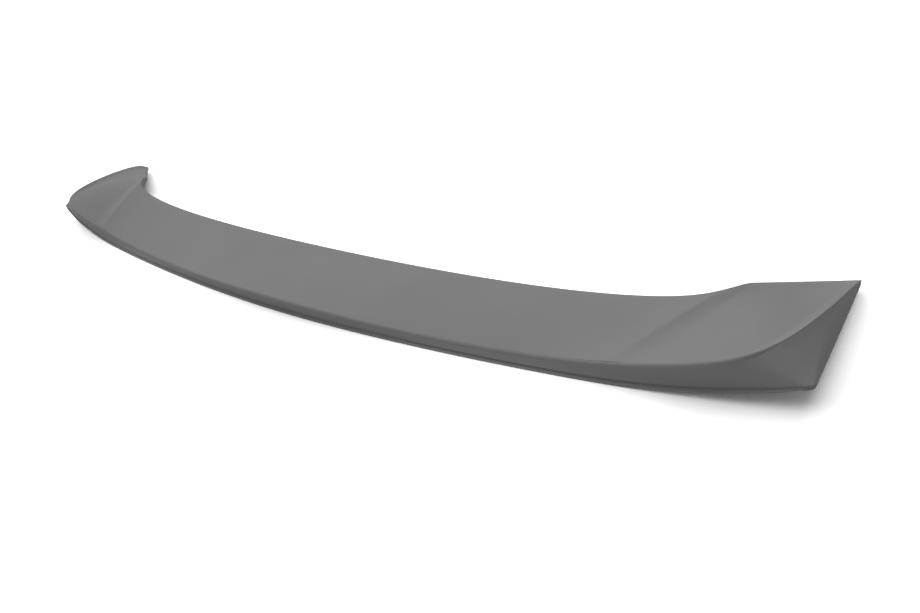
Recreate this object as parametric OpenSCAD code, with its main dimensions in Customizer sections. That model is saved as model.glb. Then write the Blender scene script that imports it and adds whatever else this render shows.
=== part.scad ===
// Trunk spoiler: a one-piece lip moulding with swept, upturned ears.
// +X runs along the span to the right, +Y to the front of the car, +Z up.
// The seating face lies on z = 0 and the origin is the middle of the footprint.

/* [Overall] */
// Half of the span, from the middle of the blade to an ear tip
half_span = 600; // [560:5:640]
// Wall thickness of the moulding over its pockets
wall = 3; // [2.5:0.5:4]

/* [Trailing edge] */
// Height of the trailing edge in the middle of the blade
tail_h = 23; // [20:1:27]
// Length of the nearly straight stretch each side of the middle
tail_straight = 150; // [120:5:180]
// How far the trailing edge has swept forward where the ear starts
tail_sweep = 36.5; // [30:0.5:42]
// How far the trailing edge sags below the middle before it climbs
tail_sag = 25.5; // [22:0.5:28]
// Radius of the rounded trailing edge
tail_r = 3; // [2:0.5:4]

/* [Front edge] */
// Chord of the blade in the middle, trailing edge to front edge
chord = 120.5; // [112:0.5:130]
// Height of the front edge in the middle of the blade
nose_h = 10.5; // [9:0.5:13]
// Width of the soft roll along the blade's front edge
nose_roll = 4; // [3:0.5:6]
// Height that the soft roll drops
nose_drop = 1.2; // [0.8:0.2:2]

/* [Ears] */
// Width of an ear, measured inward from its tip to where it leaves the trailing edge
ear_width = 142; // [130:2:154]
// Height of the top edge where the ear starts
ear_start_h = 32.5; // [30:0.5:36]
// Depth of the whole moulding, from the trailing edge to the ear tips
ear_reach = 236.5; // [220:0.5:250]
// Height of an ear's top edge at its outer corner, as the pull on its curve
ear_crest = 62; // [56:1:66]
// Height of an ear tip
tip_h = 10.5; // [9:0.5:13]
// Length of the blunt end of an ear tip
tip_blunt = 3; // [2.5:0.5:5]
// Distance from a tip inward to the neck, where blade and ear meet in front
neck_in = 134.5; // [126:0.5:142]
// How far forward the neck lies
neck_y = 146.5; // [140:0.5:152]
// Height of the front edge at the neck
neck_h = 27.5; // [24:0.5:31]
// Distance from a tip inward to the shoulder of the ear's front edge
shoulder_in = 87.5; // [82:0.5:94]
// How far forward the shoulder lies
shoulder_y = 183; // [176:0.5:190]
// Width of the bevel along the ear's front edge
bevel_w = 9; // [6:1:12]
// Height of the wall along the ear's front edge
ear_wall = 5; // [4.5:0.5:7]
// Height that the bevel drops
bevel_drop = 3.5; // [2:0.5:5]
// Height of the fold line that divides ear from blade
fold_h = 2; // [1:0.5:3]
// Depth of the hollow inside the upturned rim along an ear's outer edge
rim_h = 7; // [4:0.5:8]
// Width of that rim
rim_w = 10; // [8:0.5:12]
// Arch of the top skin between its edges
crown = 1.5; // [0.5:0.5:3]

/* [Rear face] */
// How far the lower edge is tucked under the trailing edge in the middle
tuck = 5.5; // [4:0.5:8]
// How far forward the lower edge lies at the ear's outer corner
corner_y = 60.5; // [56:0.5:64]
// Distance from a tip inward to the ear's outer lower corner
corner_in = 19; // [15:1:23]
// Height by which the ear's outer corner clears the seat
corner_lift = 25.5; // [20:0.5:29]
// Height of the lip band along the lower edge
lip_h = 6; // [5:0.5:8]
// Depth of the groove between the rear face and the lip
lip_groove = 1.5; // [1:0.25:2]

/* [Underside] */
// Width of the seating land along the rear edge
rear_land = 9; // [8:1:12]
// Width of the seating land along the front edge
front_land = 10; // [8:1:14]
// How far the front wall sits back under the front edge
skirt_in = 2; // [1:0.5:3]
// Thickness of a rib
rib_t = 3; // [2.5:0.5:4]
// Width of a solid screw pad
pad_w = 20; // [16:1:24]
// Distance between neighbouring pilot bores along the span, four times the rib pitch
bore_pitch = 240; // [220:4:240]
// Radius of a pilot bore
bore_r = 2.1; // [1.8:0.1:2.6]
// Depth of a pilot bore
bore_depth = 8; // [6:0.5:9]
// Distance of the bores from the trailing edge's middle, along Y
bore_y = 70; // [66:1:74]

/* [Hidden] */

// The middle of the footprint along Y, which becomes the origin.
mid_y = ear_reach / 2;
// Places along the span where the guide lines change, as shares of the loft.
ear_s = 0.667;
wall_s = 0.46;
neck_s = 0.57;
shoulder_s = 0.64;
corner_s = 0.77;
side_s = 0.92;
// The innermost and outermost pocket ends, and the steps of the loft.
last_pocket_x = half_span - 26;
ear_steps = 5;
blade_steps = 3;
tip_steps = 8;

// Trailing edge, from the middle of the blade to the start of the ear.
ear_x = half_span - ear_width;
tail_line = [
    [0, 0, tail_h],
    [tail_straight, 0, tail_h],
    [ear_x - 123, tail_sweep - 7, tail_h - tail_sag],
    [ear_x, tail_sweep, ear_start_h]
];
// Top edge of the ear, which goes on in the same direction, turns the outer
// corner and runs forward to the tip.
ear_line = [
    tail_line[3],
    tail_line[3] + 0.88 * (tail_line[3] - tail_line[2]),
    [half_span - 37, 59, ear_crest],
    [half_span, ear_reach - tip_blunt, tip_h]
];
// Lower rear edge, on the seat along the blade.
lower_line = [
    [0, tuck, 0],
    [176, tuck, 0],
    [half_span - 181, 24.5, 0],
    [half_span - corner_in, corner_y, 0]
];
// Front edge of the blade, then the ear's neck, shoulder and tip.
front_line = [
    [0, chord, nose_h],
    [155, chord, nose_h],
    [half_span - 219, chord + 2.5, nose_h + 3.5],
    [half_span - neck_in, neck_y, neck_h]
];
// The front edge bends forward in one hollow curve from the neck to the shoulder.
shoulder = [half_span - shoulder_in, shoulder_y, neck_h - 1.5];
neck_line = [
    front_line[3],
    front_line[3] + 0.25 * (front_line[3] - front_line[2]),
    shoulder - [14, 15, -1],
    shoulder
];
front_tip = [half_span - 2, ear_reach, tip_h - 1];

function bezier(p, t) =
    pow(1 - t, 3) * p[0] + 3 * t * pow(1 - t, 2) * p[1]
    + 3 * t * t * (1 - t) * p[2] + pow(t, 3) * p[3];
function blend(a, b, t) = a * (1 - t) + b * t;
function share(s, a, b) = min(max((s - a) / (b - a), 0), 1);
function smooth(t) = t * t * (3 - 2 * t);
function flat(v) = [v[0], v[1], 0];
function up(h) = [0, 0, h];
function toward(a, b) = flat(b - a) / norm(flat(b - a));

// Height by which the lower edge clears the seat, at a distance x from the middle.
lift_x = half_span - 200;
function lift(x) = corner_lift * pow(max(x - lift_x, 0) / (half_span - corner_in - lift_x), 2);

// The four guide points of a section, at a share s of the way to the tip.
function rear_top(s) =
    s < ear_s ? bezier(tail_line, s / ear_s)
              : bezier(ear_line, (s - ear_s) / (1 - ear_s));
function front_top(s) =
    s < neck_s ? bezier(front_line, s / neck_s)
    : s < shoulder_s ? bezier(neck_line, share(s, neck_s, shoulder_s))
    : blend(shoulder, front_tip, share(s, shoulder_s, 1));
function lower_flat(s) =
    s < corner_s ? bezier(lower_line, s / corner_s)
    : s < side_s ? bezier([lower_line[3], lower_line[3] + [6, 1.3, 0],
                           side_foot - [0.3, 5, 0], side_foot], share(s, corner_s, side_s))
    : blend(side_foot, side_tip, share(s, side_s, 1));
side_foot = [half_span - 8.5, corner_y + 9, 0];
side_tip = [half_span - 0.5, ear_reach - tip_blunt - 2, 0];
function under_z(s) =
    s < corner_s ? lift(lower_flat(s)[0])
                 : blend([corner_lift], [tip_h - 4], share(s, side_s, 1))[0];
function lower(s) = lower_flat(s) + up(under_z(s));
// Height of the front wall's foot: on the seat along the blade, then close
// under the ear's front edge.
function front_z(s) = smooth(share(s, wall_s, neck_s)) * (front_top(s)[2] - ear_wall);

// Points across the top skin, from the front bevel back to the trailing edge.
function bevel_in(s) =
    let (ear = smooth(share(s, neck_s, shoulder_s)),
         tip = 1 - 0.85 * share(s, 0.93, 1))
    front_top(s)
    + toward(front_top(s), rear_top(s)) * tip * blend([nose_roll], [bevel_w], ear)[0]
    + up(tip * blend([nose_drop], [bevel_drop], ear)[0]);
// How far the skin has sunk inside the rim, at a distance t from the edge r.
// The rim is as wide square to the edge everywhere, so it takes a longer
// stretch of a section that meets the edge at a slant.
function hollow(s, t, depth) =
    let (edge = toward(rear_top(max(s - 0.01, 0)), rear_top(min(s + 0.01, 1))),
         slant = max(norm(cross(edge, toward(rear_top(s), front_top(s)))), 0.15),
         run = min(rim_w / slant, depth * 0.7))
    rim_h * smooth(share(s, 0.74, 0.82)) * (1 - share(s, 0.84, 0.96))
    * smooth(share(t, 0, run)) * (1 - share(t, run, depth));
function skin(s, w) =
    let (fold = pow(max(1 - abs(s - 0.615) / 0.06, 0), 2), bow = max(4 * w * (1 - w), 0),
         depth = norm(flat(rear_top(s) - bevel_in(s))))
    blend(bevel_in(s), rear_top(s), w)
    + up((crown * bow + fold_h * fold * sqrt(bow)) * (1 - share(s, 0.9, 1))
         - hollow(s, depth * (1 - w), depth));

// The closed outer outline of a section, from the front foot over the top
// to the lower rear edge.
skin_steps = 7;
arc_steps = 4;
function edge_r(s) = blend([tail_r], [1], share(s, 0.93, 1))[0];
function outline(s) =
    let (f = front_top(s), r = rear_top(s), l = lower(s),
         d = toward(r, f), dl = toward(l, f), e = edge_r(s),
         band = min(lip_h, (r[2] - l[2]) * 0.35), g = lip_groove * band / lip_h,
         centre = r + d * e - up(e))
    concat(
        [flat(f) - d * blend([skirt_in], [0.6], share(s, 0.93, 1))[0] + up(front_z(s)),
         f - d * 0.6 - up(min(2.5, (f[2] - front_z(s)) * 0.5)),
         f - up(0.8),
         f - d * 0.8],
        [for (j = [0:skin_steps])
            skin(s, (1 - pow(1 - j / skin_steps, 1.8)) * (1 - e / norm(r - bevel_in(s))))],
        [for (j = [1:arc_steps])
            let (a = 90 * j / arc_steps)
            centre - d * e * sin(a) + up(e * cos(a))],
        [blend(r - up(e), l + up(band), 0.5),
         l + up(band),
         l + up(band * 0.85) + dl * g,
         l + up(band * 0.25) + dl * g,
         l + up(band * 0.15),
         l]
    );

// The outline of a pocket at a section, from the rear land over its roof
// to the front land. Its walls stand upright or lean inward, so that it
// leaves the mould, and they stay clear of the side face of an ear.
roof_steps = 5;
function pocket(s) =
    let (f = front_top(s), r = rear_top(s), l = lower(s), d = toward(r, f),
         span = norm(flat(f - l)), depth = norm(flat(f - r)),
         rear = flat(l) + toward(l, f) * min(rear_land, span * 0.3),
         front = flat(f) + toward(f, l) * min(front_land, span * 0.3),
         first = max(edge_r(s) + wall + 2, (rear - flat(r)) * d),
         last = min((front - flat(r)) * d, depth - skirt_in - wall))
    concat(
        [rear + up(under_z(s))],
        [for (j = [0:roof_steps])
            let (t = blend([first], [last], pow(j / roof_steps, 1.5))[0],
                 roof = skin(s, 1 - t / depth)[2] - wall,
                 foot = blend([under_z(s)], [front_z(s)], j / roof_steps)[0])
            flat(r) + d * t + up(max(roof, foot + 1))],
        [front + up(front_z(s))]
    );

// The share of the loft at which a section's middle lies x from the centre.
function mid_x(s) = (lower(s)[0] + front_top(s)[0]) / 2;
function station(x, lo = 0, hi = 1, n = 24) =
    n == 0 ? (lo + hi) / 2
    : mid_x((lo + hi) / 2) < x ? station(x, (lo + hi) / 2, hi, n - 1)
    : station(x, lo, (lo + hi) / 2, n - 1);

// Pocket ends along the right half: a rib, or a screw pad where a bore is.
rib_pitch = bore_pitch / 4;
rib_count = floor((last_pocket_x - rib_pitch / 2) / rib_pitch);
function half_web(k) = k % 4 == 2 ? pad_w / 2 : rib_t / 2;
function cell(k) =
    let (s0 = station(k * rib_pitch + half_web(k)),
         s1 = station(k == rib_count ? last_pocket_x
                                     : (k + 1) * rib_pitch - half_web(k + 1)),
         n = s0 > neck_s - 0.05 ? ear_steps : blade_steps)
    [for (j = [0:n]) blend([s0], [s1], j / n)[0]];
right_cells = [for (k = [0:rib_count]) cell(k)];

// All the stations of the loft, tip to tip, with a flag where a pocket runs
// on to the next station.
function flags(c) = [for (j = [0:len(c) - 1]) [c[j], j < len(c) - 1]];
last_pocket_s = station(last_pocket_x);
right_half = concat(
    [for (c = right_cells) each flags(c)],
    [for (j = [1:tip_steps]) [blend([last_pocket_s], [0.985], j / tip_steps)[0], false]],
    [[1, false]]);
last = len(right_half) - 1;
left_half = [for (k = [last:-1:0]) [-right_half[k][0], k > 0 && right_half[k - 1][1]]];
stations = concat(left_half, right_half);

function side(p, s) = [s < 0 ? -p[0] : p[0], p[1] - mid_y, p[2]];
function loop(s) = [for (p = concat(outline(abs(s)), pocket(abs(s)))) side(p, s)];

module spoiler_shell() {
    rings = [for (st = stations) loop(st[0])];
    size = len(rings[0]);
    outer = len(outline(0));
    inner = size - outer;
    count = len(stations);
    rim = concat([for (j = [0:outer]) j], [size - 1]);
    function middle(ring) =
        let (sum = [for (j = rim) 1] * [for (j = rim) ring[j]]) sum / len(rim);
    points = concat([for (r = rings) each r], [middle(rings[0]), middle(rings[count - 1])]);
    function id(i, j) = i * size + j;
    // A four-sided patch between two stations, split the same way on both halves.
    function patch(i, a, b) =
        i < count / 2
        ? [[id(i, a), id(i + 1, a), id(i + 1, b)], [id(i, a), id(i + 1, b), id(i, b)]]
        : [[id(i, a), id(i + 1, a), id(i, b)], [id(i, b), id(i + 1, a), id(i + 1, b)]];
    skin_faces = [for (i = [0:count - 2]) for (j = [0:outer - 2]) each patch(i, j, j + 1)];
    land_faces = [for (i = [0:count - 2])
        each concat(patch(i, outer - 1, outer), patch(i, size - 1, 0))];
    web_faces = [for (i = [0:count - 2]) if (!stations[i][1]) each patch(i, outer, size - 1)];
    roof_faces = [for (i = [0:count - 2]) if (stations[i][1])
        for (j = [outer:size - 2]) each patch(i, j, j + 1)];
    start_faces = [for (i = [1:count - 1]) if (stations[i][1] && !stations[i - 1][1])
        [for (j = [outer:size - 1]) id(i, j)]];
    end_faces = [for (i = [1:count - 1]) if (!stations[i][1] && stations[i - 1][1])
        [for (j = [size - 1:-1:outer]) id(i, j)]];
    tip_faces = [for (j = [0:len(rim) - 1])
        let (a = rim[j], b = rim[(j + 1) % len(rim)])
        each [[id(0, a), id(0, b), count * size],
              [id(count - 1, b), id(count - 1, a), count * size + 1]]];
    color("dimgray")
    difference() {
        polyhedron(points, concat(skin_faces, land_faces, web_faces, roof_faces,
                                  start_faces, end_faces, tip_faces), convexity = 12);
        for (k = [-1.5, -0.5, 0.5, 1.5]) {
            translate([k * bore_pitch, bore_y - mid_y, -1])
                cylinder(r = bore_r, h = bore_depth + 1, $fn = 48);
        }
    }
}

spoiler_shell();
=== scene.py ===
# %% [markdown]
# # A trunk spoiler in grey primer
# A trunk spoiler is one long moulding that lies across the rear edge of a car's
# boot lid. This one has a swept blade in the middle and an upturned ear at each
# end. It comes out of its mould, is sanded and gets a coat of matte grey primer,
# and the buyer paints it later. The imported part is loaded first, because its box
# and its place are the frame that everything else keeps to.

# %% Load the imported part
import math

import bpy
import numpy as np
from mathutils import Matrix, Vector


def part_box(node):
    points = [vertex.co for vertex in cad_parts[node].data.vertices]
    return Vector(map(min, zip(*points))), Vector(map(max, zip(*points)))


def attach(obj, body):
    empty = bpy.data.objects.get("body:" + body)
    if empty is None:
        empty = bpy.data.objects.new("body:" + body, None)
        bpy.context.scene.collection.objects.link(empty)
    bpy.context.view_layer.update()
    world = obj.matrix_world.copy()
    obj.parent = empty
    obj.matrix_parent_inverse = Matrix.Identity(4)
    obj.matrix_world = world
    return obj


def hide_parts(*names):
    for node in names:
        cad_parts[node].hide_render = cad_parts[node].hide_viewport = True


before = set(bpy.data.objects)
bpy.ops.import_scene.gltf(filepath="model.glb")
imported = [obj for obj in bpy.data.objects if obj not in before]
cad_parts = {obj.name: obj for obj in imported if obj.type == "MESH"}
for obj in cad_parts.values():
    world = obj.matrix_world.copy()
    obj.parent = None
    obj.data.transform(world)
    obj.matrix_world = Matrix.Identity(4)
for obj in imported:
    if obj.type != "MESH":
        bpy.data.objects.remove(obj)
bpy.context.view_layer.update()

low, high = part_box("spoiler_shell")
half_span = high.x
reach = high.y - low.y
mm = 0.001
print(f"the frame is {2 * half_span:.3f} m wide and {reach:.3f} m deep")

# %% [markdown]
# ## Guide lines
# The real part has no flat panel, and its only straight edges are the front and
# the short side of each ear. Its shape is what a modeller calls a loft: a section
# that changes as it slides along a few guide lines. A box could be bent and
# sculpted into the same form, but then no edge could be moved alone. Here a guide
# line is made of Bezier curves with a few control points, in metres, and a share
# from 0 in the middle of the blade to 1 at the ear's tip says where a section sits.

# %% Points, curves and shares
def at(x, y, z):
    """A point at x from the middle, y ahead of the trailing edge and z above the seat."""
    return np.array([x, low.y + y, z])


def blend(a, b, t):
    """A number or a point between a and b."""
    return a * (1 - t) + b * t


def bezier(points, t):
    """The point at t on the curve that these control points pull at."""
    while len(points) > 1:
        points = [blend(a, b, t) for a, b in zip(points, points[1:])]
    return points[0]


def share(s, start, end):
    """How far s has gone from start to end, from 0 to 1."""
    return min(max((s - start) / (end - start), 0), 1)


def smooth(t):
    """Eases t in and out."""
    return t * t * (3 - 2 * t)


def flat(p):
    """The point straight below p, on the seat."""
    return np.array([p[0], p[1], 0])


def up(height):
    """A step straight up."""
    return np.array([0, 0, height])


def toward(a, b):
    """The level direction from a to b."""
    step = flat(b - a)
    return step / np.linalg.norm(step)


print("a quarter of the way is", smooth(0.25), "once it is eased")

# %% [markdown]
# ## Four lines and the section between them
# The trailing edge runs level behind the blade, sags a little, climbs into the
# ear and turns the ear's outer corner to reach the tip. The lower edge lies on
# the boot lid under it, and leaves the lid under the ear. The front edge is
# almost straight, then steps forward at a neck and a shoulder to the same tip.
# Heights and places come from the outlines of both ears in the photograph, and
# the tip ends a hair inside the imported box.

# %% Trailing edge and lower edge
tail_h = 23 * mm
tail_straight = 150 * mm
tail_sweep = 36.5 * mm
tail_sag = 25.5 * mm
ear_x = half_span - 142 * mm
ear_start_h = 32.5 * mm
tip_h = 10.5 * mm
tip_low = tip_h - 4 * mm
tip_blunt = 5 * mm
tail_line = [
    at(0, 0, tail_h),
    at(tail_straight, 0, tail_h),
    at(ear_x - 123 * mm, tail_sweep - 7 * mm, tail_h - tail_sag),
    at(ear_x, tail_sweep, ear_start_h),
]
ear_pull = 0.89
ear_line = [
    tail_line[3],
    tail_line[3] + ear_pull * (tail_line[3] - tail_line[2]),
    at(half_span - 39.5 * mm, 47.5 * mm, 58.5 * mm),
    at(half_span + 9 * mm, reach - 4.5 * mm, 29.5 * mm),
    at(half_span - 1 * mm, reach - tip_blunt, tip_h),
]
tuck = 3 * mm
corner_in = 19 * mm
corner_y = 60.5 * mm
corner_lift = 23.5 * mm
lower_line = [
    at(0, tuck, 0),
    at(176 * mm, tuck, 0),
    at(half_span - 181 * mm, 24.5 * mm, 0),
    at(half_span - corner_in, corner_y, 0),
]
side_foot = at(half_span - 8.5 * mm, corner_y + 9 * mm, 0)
side_tip = at(half_span - 0.5 * mm, reach - tip_blunt, 0)
corner_turn = [
    lower_line[3],
    lower_line[3] + np.array([6 * mm, 1.3 * mm, 0]),
    side_foot - np.array([0.3 * mm, 5 * mm, 0]),
    side_foot,
]
print(f"the trailing edge sweeps forward {tail_sweep / mm:.1f} mm before the ear")

# %% Front edge
chord = 120.5 * mm
nose_h = 11.7 * mm
neck = at(half_span - 134.5 * mm, 146.5 * mm, 27.5 * mm)
front_line = [
    at(0, chord, nose_h),
    at(155 * mm, chord, nose_h),
    at(half_span - 219 * mm, chord + 2.5 * mm, nose_h + 3.5 * mm),
    neck,
]
shoulder = at(half_span - 87.5 * mm, 183 * mm, 26.5 * mm)
neck_pull = 0.25
neck_line = [
    neck,
    neck + neck_pull * (neck - front_line[2]),
    shoulder - np.array([14 * mm, 15 * mm, -1 * mm]),
    shoulder,
]
front_tip = at(half_span - 2.5 * mm, reach - 0.8 * mm, tip_h - 0.5 * mm)
print(f"the blade is {chord / mm:.1f} mm deep in the middle")

# %% Where the lines change, as shares of the way to the tip
ear_s = 0.667
wall_s = 0.46
neck_s = 0.57
shoulder_s = 0.64
corner_s = 0.77
side_s = 0.92
lift_x = half_span - 200 * mm
ear_wall = 5 * mm


def rear_top(s):
    """The trailing edge, and the ear's top edge past it."""
    if s < ear_s:
        return bezier(tail_line, s / ear_s)
    return bezier(ear_line, (s - ear_s) / (1 - ear_s))


def front_top(s):
    """The front edge, by way of the neck and the shoulder."""
    if s < neck_s:
        return bezier(front_line, s / neck_s)
    if s < shoulder_s:
        return bezier(neck_line, share(s, neck_s, shoulder_s))
    return blend(shoulder, front_tip, share(s, shoulder_s, 1))


def lower(s):
    """The lower edge, on the seat under the blade and lifted under the ear."""
    if s < corner_s:
        p = bezier(lower_line, s / corner_s)
        rise = max(p[0] - lift_x, 0) / (half_span - corner_in - lift_x)
        return p + up(corner_lift * rise**2)
    z = blend(corner_lift, tip_low, share(s, side_s, 1))
    if s < side_s:
        return bezier(corner_turn, share(s, corner_s, side_s)) + up(z)
    return blend(side_foot, side_tip, share(s, side_s, 1)) + up(z)


def front_z(s):
    """The height of the front wall's foot: on the seat, then close under the ear's edge."""
    return smooth(share(s, wall_s, neck_s)) * (front_top(s)[2] - ear_wall)


print("the ear starts at", rear_top(ear_s).round(3), "and ends at", rear_top(1).round(3))

# %% [markdown]
# ## The section
# Going round one section: up the low front wall, over a soft roll that widens
# into a bevel along the ear, back across the slightly crowned skin, round the
# trailing edge, down the rear face, in and out of a shallow groove, and round
# the thin flange that lies on the lid. The crown is higher along the fold that
# divides the ear from the blade. Along its outer edge an ear turns up into a rim,
# so its skin sinks a little inside that rim. Where the side of the ear leans
# outward, the rounding of the edge stops early and runs straight into it.

# %% Sizes of the section's details
crown = 1.5 * mm
fold_h = 2 * mm
fold_s = 0.615
fold_width = 0.06
rim_h = 2 * mm
rim_w = 10 * mm
rim_starts = 0.74, 0.82
rim_fades = 0.84, 0.96
rim_part = 0.7
least_slant = 0.15
slant_reach = 0.01
arch_fades = 0.9, 1
shrinks = 0.93, 1
nose_roll = 4 * mm
nose_drop = 1.2 * mm
bevel_w = 9 * mm
bevel_drop = 3.5 * mm
bevel_shrink = 0.85
tail_r = 3 * mm
tip_r = 1 * mm
lip_h = 6 * mm
lip_part = 0.35
lip_groove = 1 * mm
groove_starts = 0.85
flange_t = 1.5 * mm
flange_rise = 0.8 * mm
flange_edge = 0.4 * mm
flange_out = 2.5 * mm
flange_fades = 0.7, 0.78
foot_in = 1.5 * mm
skirt_in = 2 * mm
tip_skirt_in = 0.6 * mm
front_wall_h = 2.5 * mm
front_wall_part = 0.5
front_lean = 0.6 * mm
front_edge = 0.8 * mm
most_lean = math.radians(60)
print(f"the bevel along an ear is {bevel_w / mm:.1f} mm wide")

# %% The skin between the front edge and the trailing edge
def bevel_in(s):
    """Where the front roll or bevel meets the top skin."""
    ear = smooth(share(s, neck_s, shoulder_s))
    fade = 1 - bevel_shrink * share(s, *shrinks)
    f = front_top(s)
    width = fade * blend(nose_roll, bevel_w, ear)
    return f + toward(f, rear_top(s)) * width + up(fade * blend(nose_drop, bevel_drop, ear))


def hollow(s, t, depth):
    """How far the skin has sunk at a distance t from an edge whose rim is rim_w wide."""
    along = toward(rear_top(max(s - slant_reach, 0)), rear_top(min(s + slant_reach, 1)))
    across = toward(rear_top(s), front_top(s))
    slant = max(np.linalg.norm(np.cross(along, across)), least_slant)
    run = min(rim_w / slant, depth * rim_part)
    present = smooth(share(s, *rim_starts)) * (1 - share(s, *rim_fades))
    return rim_h * present * smooth(share(t, 0, run)) * (1 - share(t, run, depth))


def skin(s, w):
    """The top skin, with w from 0 at the front roll to 1 at the trailing edge."""
    fold = max(1 - abs(s - fold_s) / fold_width, 0) ** 2
    bow = max(4 * w * (1 - w), 0)
    arch = crown * bow + fold_h * fold * math.sqrt(bow)
    depth = np.linalg.norm(flat(rear_top(s) - bevel_in(s)))
    arch = arch * (1 - share(s, *arch_fades)) - hollow(s, depth * (1 - w), depth)
    return blend(bevel_in(s), rear_top(s), w) + up(arch)


def edge_r(s):
    """The radius of the rounded trailing edge."""
    return blend(tail_r, tip_r, share(s, *shrinks))


print(f"the skin is {skin(0, 0.5)[2] / mm:.1f} mm high in the middle of the blade")

# %% The closed outline of a section
skin_steps = 24
skin_crowding = 1.8
arc_steps = 10
rear_steps = 4


def outline(s):
    """The points round a section, from the front foot over the top to the lower edge."""
    f, r, l = front_top(s), rear_top(s), lower(s)
    d, dl, e = toward(r, f), toward(l, f), edge_r(s)
    band = min(lip_h, (r[2] - l[2]) * lip_part)
    groove = dl * lip_groove * band / lip_h
    skirt = blend(skirt_in, tip_skirt_in, share(s, *shrinks))
    front_wall = min(front_wall_h, (f[2] - front_z(s)) * front_wall_part)
    ring = [flat(f) - d * skirt + up(front_z(s)), f - d * front_lean - up(front_wall)]
    ring += [f - up(front_edge), f - d * front_edge]
    top = 1 - e / np.linalg.norm(r - bevel_in(s))
    crowded = [1 - (1 - j / skin_steps) ** skin_crowding for j in range(skin_steps + 1)]
    ring += [skin(s, top * w) for w in crowded]
    centre = r + d * e - up(e)
    lean = math.atan2(max((r - l) @ d, 0), r[2] - l[2] - band)
    turns = np.linspace(0, math.radians(90) - min(lean, most_lean), arc_steps + 1)[1:]
    ring += [centre - d * e * math.sin(a) + up(e * math.cos(a)) for a in turns]
    ring += [blend(ring[-1], l + up(band), j / rear_steps) for j in range(1, rear_steps)]
    rim = l - dl * blend(flange_out, 0, share(s, *flange_fades))
    ring += [l + up(band), l + up(band * groove_starts) + groove]
    ring += [l + up(flange_t + flange_rise) + groove, rim + up(flange_t)]
    ring += [rim + up(flange_edge), l + dl * foot_in]
    return ring + ring[:1]


print(f"one section has {len(outline(0)) - 1} points")

# %% [markdown]
# ## The hollow underside
# Seen from below such a moulding is never solid. Its skin is a few millimetres
# thick, and ribs cross the hollow so that it keeps its shape. The pockets between
# the ribs are lofts of their own. The skin could be given a thickness instead,
# but then each rib and land would have to be added to it, while pockets leave
# them standing. Solid pads stay where a screw comes up through the lid.

# %% Ribs, pads and pockets
wall = 3 * mm
rear_land = 9 * mm
front_land = 10 * mm
land_part = 0.3
bore_pitch = 240 * mm
ribs_per_bore = 4
rib_pitch = bore_pitch / ribs_per_bore
rib_t = 3 * mm
pad_w = 20 * mm
last_pocket_x = half_span - 26 * mm
least_pocket_h = 1 * mm
overcut = 1 * mm
edge_clearance = 2 * mm
pocket_steps = 9
roof_steps = 8
roof_crowding = 1.5
halvings = 24
print(f"a rib stands every {rib_pitch / mm:.0f} mm")

# %% The outline of a pocket, and where pockets start and end
def station(x):
    """The share at which a section's middle lies x from the centre, by halving."""
    near, far = 0.0, 1.0
    for _ in range(halvings):
        middle = (near + far) / 2
        if (lower(middle)[0] + front_top(middle)[0]) / 2 < x:
            near = middle
        else:
            far = middle
    return (near + far) / 2


def pocket(s):
    """The points round a pocket's section, from the rear land to the front land."""
    f, r, l = front_top(s), rear_top(s), lower(s)
    d, span, depth = toward(r, f), np.linalg.norm(flat(f - l)), np.linalg.norm(flat(f - r))
    rear = flat(l) + toward(l, f) * min(rear_land, span * land_part)
    front = flat(f) + toward(f, l) * min(front_land, span * land_part)
    first = max(edge_r(s) + wall + edge_clearance, (rear - flat(r)) @ d)
    last = min((front - flat(r)) @ d, depth - skirt_in - wall)
    ring = [rear + up(l[2]) - up(overcut)]
    for j in range(roof_steps + 1):
        t = blend(first, last, (j / roof_steps) ** roof_crowding)
        foot = blend(l[2], front_z(s), j / roof_steps)
        roof = skin(s, 1 - t / depth)[2] - wall
        ring.append(flat(r) + d * t + up(max(roof, foot + least_pocket_h)))
    ring.append(front + up(front_z(s)) - up(overcut))
    return ring + ring[:1]


def half_web(k):
    """Half the thickness of a rib, or of the pad that stands there when a bore does."""
    return pad_w / 2 if k % ribs_per_bore == ribs_per_bore // 2 else rib_t / 2


rib_count = int((last_pocket_x - rib_pitch / 2) // rib_pitch)
pocket_ends = []
for k in range(rib_count + 1):
    far_end = last_pocket_x if k == rib_count else (k + 1) * rib_pitch - half_web(k + 1)
    pocket_ends.append((station(k * rib_pitch + half_web(k)), station(far_end)))
print(f"each half has {len(pocket_ends)} pockets")

# %% [markdown]
# ## From sections to rings of points
# Both lofts are handed to Geometry Nodes as rings of points, tip to tip. A ring
# that has shrunk to one point closes each end of a loft. The script could list
# the faces between the rings too, but a grid in the tree makes them by itself.

# %% Rings of the skin and of the pockets
stations_per_half = 240


def mirrored(points):
    """The same points on the left half."""
    return [p * np.array([-1, 1, 1]) for p in points]


def closed(rings):
    """The rings, with one shrunk to a point at either end."""
    size = len(rings[0])
    middles = [np.mean(ring[:-1], axis=0) for ring in (rings[0], rings[-1])]
    return [[middles[0]] * size] + rings + [[middles[1]] * size]


shares = [k / stations_per_half for k in range(stations_per_half + 1)]
right = [outline(s) for s in shares]
skin_rings = closed([mirrored(ring) for ring in right[:0:-1]] + right)
pocket_rings = []
for start, end in pocket_ends:
    row = [pocket(blend(start, end, j / pocket_steps)) for j in range(pocket_steps + 1)]
    pocket_rings += closed(row)
    pocket_rings += closed([mirrored(ring) for ring in row[::-1]])
skin_points = np.array(skin_rings)
pocket_points = np.array(pocket_rings)
print("skin rings:", skin_points.shape, "pocket rings:", pocket_points.shape)

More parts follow.
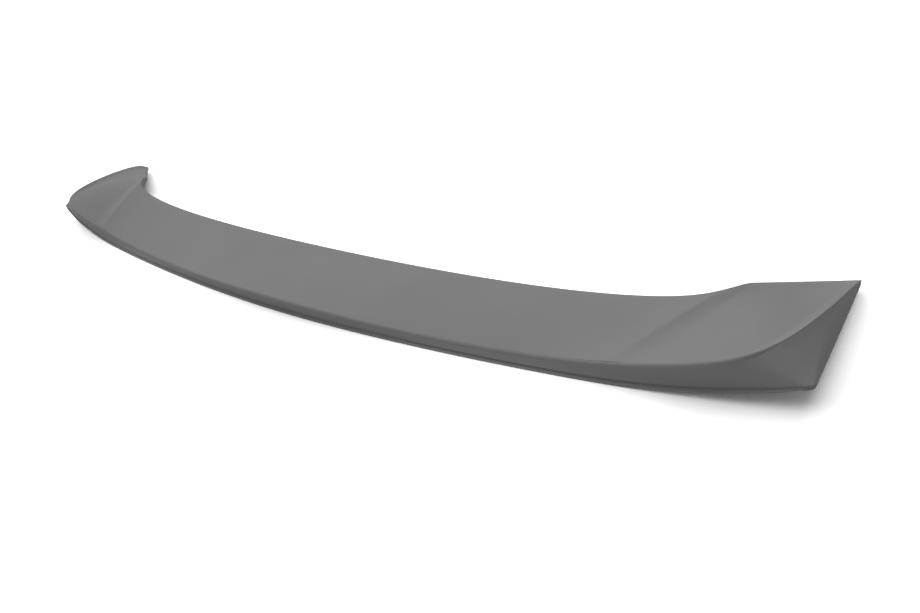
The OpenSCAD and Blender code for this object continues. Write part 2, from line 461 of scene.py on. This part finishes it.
# %% [markdown]
# ## One tree lofts, hollows and drills
# The rings hold one vertex after another, so a plain Grid with as many vertices
# can take each position by its index: that is the whole loft. A second grid does
# the same for the pockets, and loses the strips that would join one pocket to the
# next. The screw bores are one cylinder repeated along a line. A Boolean takes
# pockets and bores out of the skin, and edges that turn sharply are marked, so
# that the long surfaces shade smoothly and the lands and ribs stay crisp.

# %% A helper that adds a node
def add(tree, kind, inputs=None, **settings):
    """Adds a node, with its settings, and fills or links its inputs."""
    node = tree.nodes.new(kind)
    for name, value in settings.items():
        setattr(node, name, value)
    for name, value in (inputs or {}).items():
        if isinstance(value, bpy.types.NodeSocket):
            tree.links.new(value, node.inputs[name])
        else:
            node.inputs[name].default_value = value
    return node


print("add() makes one node and joins it to the others")

# %% The tree's inputs
tree = bpy.data.node_groups.new("Hollow loft", "GeometryNodeTree")
tree_inputs = {
    "Rings": "NodeSocketGeometry",
    "Skin Rings": "NodeSocketInt",
    "Skin Ring Points": "NodeSocketInt",
    "Pocket Rings": "NodeSocketInt",
    "Pocket Ring Points": "NodeSocketInt",
    "Rings Per Pocket": "NodeSocketInt",
    "First Bore": "NodeSocketVector",
    "Bore Step": "NodeSocketVector",
    "Bore Count": "NodeSocketInt",
    "Bore Radius": "NodeSocketFloat",
    "Bore Depth": "NodeSocketFloat",
    "Sharp Angle": "NodeSocketFloat",
    "Finish": "NodeSocketMaterial",
}
identifiers = {}
for name, kind in tree_inputs.items():
    socket = tree.interface.new_socket(name, in_out="INPUT", socket_type=kind)
    identifiers[name] = socket.identifier
tree.interface.new_socket("Moulding", in_out="OUTPUT", socket_type="NodeSocketGeometry")
given = add(tree, "NodeGroupInput").outputs
index = add(tree, "GeometryNodeInputIndex").outputs[0]
position = add(tree, "GeometryNodeInputPosition").outputs[0]
weld_distance = 0.002 * mm
print(f"the tree takes {len(identifiers)} inputs")

# %% The skin's loft
skin_grid = add(tree, "GeometryNodeMeshGrid", {
    "Vertices X": given["Skin Rings"],
    "Vertices Y": given["Skin Ring Points"],
})
skin_place = add(tree, "GeometryNodeSampleIndex", {
    "Geometry": given["Rings"],
    "Value": position,
    "Index": index,
}, data_type="FLOAT_VECTOR", domain="POINT")
skin_loft = add(tree, "GeometryNodeSetPosition", {
    "Geometry": skin_grid.outputs["Mesh"],
    "Position": skin_place.outputs["Value"],
})
skin_solid = add(tree, "GeometryNodeMergeByDistance", {
    "Geometry": skin_loft.outputs["Geometry"],
    "Distance": weld_distance,
})
print("the skin's grid is closed by", skin_solid.name)

# %% The pockets' lofts
skin_total = add(tree, "FunctionNodeIntegerMath", {
    0: given["Skin Rings"],
    1: given["Skin Ring Points"],
}, operation="MULTIPLY")
pocket_index = add(tree, "FunctionNodeIntegerMath", {
    0: index,
    1: skin_total.outputs[0],
}, operation="ADD")
pocket_grid = add(tree, "GeometryNodeMeshGrid", {
    "Vertices X": given["Pocket Rings"],
    "Vertices Y": given["Pocket Ring Points"],
})
pocket_place = add(tree, "GeometryNodeSampleIndex", {
    "Geometry": given["Rings"],
    "Value": position,
    "Index": pocket_index.outputs[0],
}, data_type="FLOAT_VECTOR", domain="POINT")
pocket_loft = add(tree, "GeometryNodeSetPosition", {
    "Geometry": pocket_grid.outputs["Mesh"],
    "Position": pocket_place.outputs["Value"],
})
print("the pockets' grid is shaped by", pocket_loft.name)

# %% The strips between two pockets, taken out
faces_per_ring = add(tree, "FunctionNodeIntegerMath", {
    0: given["Pocket Ring Points"],
    1: 1,
}, operation="SUBTRACT")
ring_number = add(tree, "FunctionNodeIntegerMath", {
    0: index,
    1: faces_per_ring.outputs[0],
}, operation="DIVIDE_FLOOR")
ring_in_pocket = add(tree, "FunctionNodeIntegerMath", {
    0: ring_number.outputs[0],
    1: given["Rings Per Pocket"],
}, operation="MODULO")
last_ring = add(tree, "FunctionNodeIntegerMath", {
    0: given["Rings Per Pocket"],
    1: 1,
}, operation="SUBTRACT")
joins_two = add(tree, "FunctionNodeCompare", {
    2: ring_in_pocket.outputs[0],
    3: last_ring.outputs[0],
}, data_type="INT", operation="EQUAL")
pockets_apart = add(tree, "GeometryNodeDeleteGeometry", {
    "Geometry": pocket_loft.outputs["Geometry"],
    "Selection": joins_two.outputs[0],
}, domain="FACE", mode="ALL")
pocket_solids = add(tree, "GeometryNodeMergeByDistance", {
    "Geometry": pockets_apart.outputs["Geometry"],
    "Distance": weld_distance,
})
print("the pockets are closed by", pocket_solids.name)

# %% The bores, repeated along the screw line
bore_sides = 48
bore_line = add(tree, "GeometryNodeMeshLine", {
    "Count": given["Bore Count"],
    "Start Location": given["First Bore"],
    "Offset": given["Bore Step"],
}, mode="OFFSET")
bore_length = add(tree, "ShaderNodeMath", {
    0: given["Bore Depth"],
    1: 2.0,
}, operation="MULTIPLY")
bore = add(tree, "GeometryNodeMeshCylinder", {
    "Vertices": bore_sides,
    "Radius": given["Bore Radius"],
    "Depth": bore_length.outputs[0],
})
bores = add(tree, "GeometryNodeInstanceOnPoints", {
    "Points": bore_line.outputs["Mesh"],
    "Instance": bore.outputs["Mesh"],
})
bore_solids = add(tree, "GeometryNodeRealizeInstances", {
    "Geometry": bores.outputs["Instances"],
})
print("the bores are repeated by", bores.name)

# %% The Boolean, the sharp edges and the finish
hollowed = add(tree, "GeometryNodeMeshBoolean", {
    "Mesh 1": skin_solid.outputs["Geometry"],
    "Mesh 2": pocket_solids.outputs["Geometry"],
}, operation="DIFFERENCE", solver="EXACT")
tree.links.new(bore_solids.outputs["Geometry"], hollowed.inputs["Mesh 2"])
all_smooth = add(tree, "GeometryNodeSetShadeSmooth", {
    "Geometry": hollowed.outputs["Mesh"],
    "Shade Smooth": True,
}, domain="FACE")
edge_angle = add(tree, "GeometryNodeInputMeshEdgeAngle")
gentle = add(tree, "FunctionNodeCompare", {
    "A": edge_angle.outputs["Unsigned Angle"],
    "B": given["Sharp Angle"],
}, data_type="FLOAT", operation="LESS_THAN")
some_sharp = add(tree, "GeometryNodeSetShadeSmooth", {
    "Geometry": all_smooth.outputs["Geometry"],
    "Shade Smooth": gentle.outputs[0],
}, domain="EDGE")
real = add(tree, "GeometryNodeRealizeInstances", {"Geometry": some_sharp.outputs["Geometry"]})
finished = add(tree, "GeometryNodeSetMaterial", {
    "Geometry": real.outputs["Geometry"],
    "Material": given["Finish"],
})
add(tree, "NodeGroupOutput", {"Moulding": finished.outputs["Geometry"]})
print(f"the tree has {len(tree.nodes)} nodes")

# %% [markdown]
# ## Grey primer
# The plastic is never seen: what shows is sprayed primer, a matte coat that is
# full of filler. It has a neutral mid grey, hardly any shine, and a faint orange
# peel where the droplets flowed together before they dried. The coat is never
# quite even, so its grey drifts slowly over a hand's width. Both could come from
# a picture of primer, but noise has no seam and stays sharp from close by.

# %% Colours from hex values
def linear(hex_colour):
    """The linear colour of an sRGB hex value, with full alpha."""
    colour = []
    for k in (1, 3, 5):
        c = int(hex_colour[k:k + 2], 16) / 255
        colour.append(c / 12.92 if c <= 0.04045 else ((c + 0.055) / 1.055) ** 2.4)
    return colour + [1.0]


print("half grey is", round(linear("#808080")[0], 3), "in linear light")

# %% Sprayed primer on moulded plastic
primer_dark = linear("#7b7b7b")
primer_light = linear("#828282")
drift_size = 90 * mm
droplet_size = 1.6 * mm
droplet_h = 0.1 * mm
primer = bpy.data.materials.new("Sprayed matte grey primer")
primer.use_nodes = True
paint = primer.node_tree
paint.nodes.clear()
place = add(paint, "ShaderNodeTexCoord").outputs["Object"]
drift = add(paint, "ShaderNodeTexNoise", {
    "Vector": place,
    "Scale": 1 / drift_size,
    "Detail": 2.0,
})
grey = add(paint, "ShaderNodeMix", {
    "Factor": drift.outputs["Fac"],
    6: primer_dark,
    7: primer_light,
}, data_type="RGBA")
droplets = add(paint, "ShaderNodeTexNoise", {
    "Vector": place,
    "Scale": 1 / droplet_size,
    "Detail": 3.0,
})
peel = add(paint, "ShaderNodeBump", {
    "Height": droplets.outputs["Fac"],
    "Strength": 0.15,
    "Distance": droplet_h,
})
coat = add(paint, "ShaderNodeBsdfPrincipled", {
    "Base Color": grey.outputs[2],
    "Roughness": 0.7,
    "IOR": 1.45,
    "Specular IOR Level": 0.15,
    "Normal": peel.outputs["Normal"],
})
add(paint, "ShaderNodeOutputMaterial", {"Surface": coat.outputs["BSDF"]})
print("primer ready:", primer.name)

# %% [markdown]
# ## Making the moulding
# The rings become a mesh of bare vertices, the tree's inputs are set by their
# identifiers, and the evaluated result is kept as a plain mesh. The modifier
# could stay live, but a plain mesh is kept in its place. It then stands for
# the imported node and rides where it rode.

# %% A mesh of bare vertices that carries the tree
carrier_mesh = bpy.data.meshes.new("rings")
ring_vertices = np.concatenate([skin_points.reshape(-1, 3), pocket_points.reshape(-1, 3)])
carrier_mesh.from_pydata(ring_vertices.tolist(), [], [])
carrier = bpy.data.objects.new("rings", carrier_mesh)
bpy.context.scene.collection.objects.link(carrier)
modifier = carrier.modifiers.new("Hollow loft", "NODES")
modifier.node_group = tree
print(f"the rings have {len(ring_vertices)} vertices")

# %% The sizes that the tree is given
bore_count = 4
bore_radius = 2.1 * mm
bore_depth = 8 * mm
bore_y = 70 * mm
sharp_angle = math.radians(28)
sizes = {
    "Skin Rings": skin_points.shape[0],
    "Skin Ring Points": skin_points.shape[1],
    "Pocket Rings": pocket_points.shape[0],
    "Pocket Ring Points": pocket_points.shape[1],
    "Rings Per Pocket": len(pocket_rings) // (2 * len(pocket_ends)),
    "First Bore": at(-bore_pitch * (bore_count - 1) / 2, bore_y, 0).tolist(),
    "Bore Step": [bore_pitch, 0, 0],
    "Bore Count": bore_count,
    "Bore Radius": bore_radius,
    "Bore Depth": bore_depth,
    "Sharp Angle": sharp_angle,
    "Finish": primer,
}
for name, value in sizes.items():
    modifier[identifiers[name]] = value
    print(name, "is", getattr(value, "name", value))

# %% Evaluate the tree and keep a plain mesh
bpy.context.view_layer.update()
graph = bpy.context.evaluated_depsgraph_get()
moulding_mesh = bpy.data.meshes.new_from_object(carrier.evaluated_get(graph), depsgraph=graph)
carrier.modifiers.clear()
bpy.data.objects.remove(carrier)
moulding = bpy.data.objects.new("spoiler_moulding", moulding_mesh)
bpy.context.scene.collection.objects.link(moulding)
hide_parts("spoiler_shell")
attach(moulding, "root")
print(f"the moulding has {len(moulding_mesh.polygons)} faces")

# %% [markdown]
# ## Floor and light
# The spoiler lies on its seat on a white floor that melts into a white ground.
# The paper looks whiter to the camera than to the light that bounces between it
# and the part, so the floor stays white while a pale shadow stays on it. Most
# light falls from a wide soft source high at the front left. A weaker one, low
# at the rear left, reaches the blade's rear face, and the ground adds a faint
# fill from all sides. A picture of a studio could light it as well, but two plain
# lights are easier to set against the greys of a photograph.

# %% White floor
floor_size = 12.0
floor_mesh = bpy.data.meshes.new("floor")
edge = floor_size / 2
floor_corners = [(-edge, -edge, 0), (edge, -edge, 0), (edge, edge, 0), (-edge, edge, 0)]
floor_mesh.from_pydata(floor_corners, [], [(0, 1, 2, 3)])
floor = bpy.data.objects.new("floor", floor_mesh)
bpy.context.scene.collection.objects.link(floor)
floor_paint = bpy.data.materials.new("Matte white paper")
floor_paint.use_nodes = True
paper = floor_paint.node_tree
paper.nodes.clear()
rays = add(paper, "ShaderNodeLightPath")
paper_seen = 1.6
paper_true = 0.75
tone = add(paper, "ShaderNodeMix", {
    "Factor": rays.outputs["Is Camera Ray"],
    2: paper_true,
    3: paper_seen,
}, data_type="FLOAT")
sheet = add(paper, "ShaderNodeBsdfDiffuse", {"Color": tone.outputs[0]})
add(paper, "ShaderNodeOutputMaterial", {"Surface": sheet.outputs["BSDF"]})
floor_mesh.materials.append(floor_paint)
print(f"the floor is {floor_size} m wide")

# %% White ground
ground = bpy.data.worlds.new("White ground")
bpy.context.scene.world = ground
ground.use_nodes = True
sky = ground.node_tree
sky.nodes.clear()
seen = add(sky, "ShaderNodeLightPath")
fill_strength = 0.25
strength = add(sky, "ShaderNodeMix", {
    "Factor": seen.outputs["Is Camera Ray"],
    2: fill_strength,
    3: 1.0,
}, data_type="FLOAT")
white = add(sky, "ShaderNodeBackground", {
    "Color": (1, 1, 1, 1),
    "Strength": strength.outputs[0],
})
add(sky, "ShaderNodeOutputWorld", {"Surface": white.outputs["Background"]})
print("the ground's fill has a strength of", fill_strength)

# %% Two soft lights
lights = [
    ("High soft light", Vector((-0.6, 0.34, 1.0)), 2.35, math.radians(100)),
    ("Low side light", Vector((-1.0, -0.4, 0.4)), 0.55, math.radians(60)),
]
for title, light_from, power, spread in lights:
    lamp_data = bpy.data.lights.new(title, "SUN")
    lamp_data.energy = power
    lamp_data.angle = spread
    lamp = bpy.data.objects.new(title, lamp_data)
    lamp.rotation_euler = (-light_from).to_track_quat("-Z", "Y").to_euler()
    bpy.context.scene.collection.objects.link(lamp)
    print(title, "from", [round(v, 2) for v in light_from])

# %% [markdown]
# ## The camera
# The photograph was taken from above the right ear, close to it, with the camera
# turned a little about its own line of sight. A camera that is only aimed at a
# point loses that turn, so this one is built from the direction it looks in, and
# then rolled.

# %% Camera
azimuth = math.radians(42.43)
elevation = math.radians(37.52)
roll = math.radians(-15.21)
camera_place = Vector((0.62912, -0.47312, 0.45610))
look = Vector((
    -math.sin(azimuth) * math.cos(elevation),
    math.cos(azimuth) * math.cos(elevation),
    -math.sin(elevation),
))
level = Vector((math.cos(azimuth), math.sin(azimuth), 0))
above = level.cross(look)
right_hand = math.cos(roll) * level + math.sin(roll) * above
overhead = -math.sin(roll) * level + math.cos(roll) * above
camera_data = bpy.data.cameras.new("Camera")
camera_data.sensor_width = 36
camera_data.lens = 26
camera_data.clip_start = 0.05
camera = bpy.data.objects.new("Camera", camera_data)
turned = Matrix((right_hand, overhead, -look)).transposed().to_4x4()
camera.matrix_world = Matrix.Translation(camera_place) @ turned
bpy.context.scene.collection.objects.link(camera)
bpy.context.scene.camera = camera
bpy.context.scene.view_settings.view_transform = "Standard"
print("camera at", [round(v, 3) for v in camera.location])
